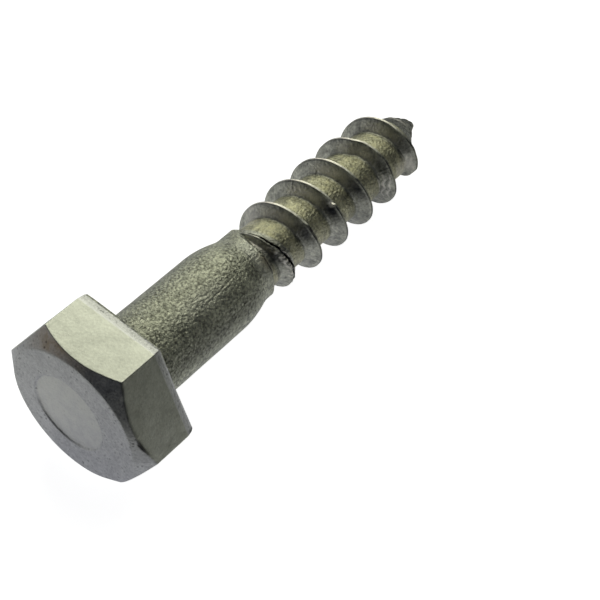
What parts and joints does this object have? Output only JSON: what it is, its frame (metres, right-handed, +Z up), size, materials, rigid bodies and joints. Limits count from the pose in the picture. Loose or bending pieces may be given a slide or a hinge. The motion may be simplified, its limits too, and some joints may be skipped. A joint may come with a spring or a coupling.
{
  "type": "hexagon head lag screw",
  "caption": "Hexagon head lag screw in dull stainless steel, with a plain shank, a tapered neck and a coarse right-hand wood thread running to a blunt point, lying on its side.",
  "frame": {"origin": "on the ground, below the middle of the screw's overall length", "axes": "+X along the screw from the head to the point, +Y across it, +Z up; the screw's own axis slopes 5 degrees down to the point, as it lies on a flat of its head and a crest of its thread"},
  "size_m": [0.057, 0.0196, 0.0175],
  "materials": {
    "screw_steel": "dull pickled stainless steel with smooth trimmed flats"
  },
  "bodies": {
    "root": {"lag_screw": "screw_steel"}
  },
  "joints": []
}
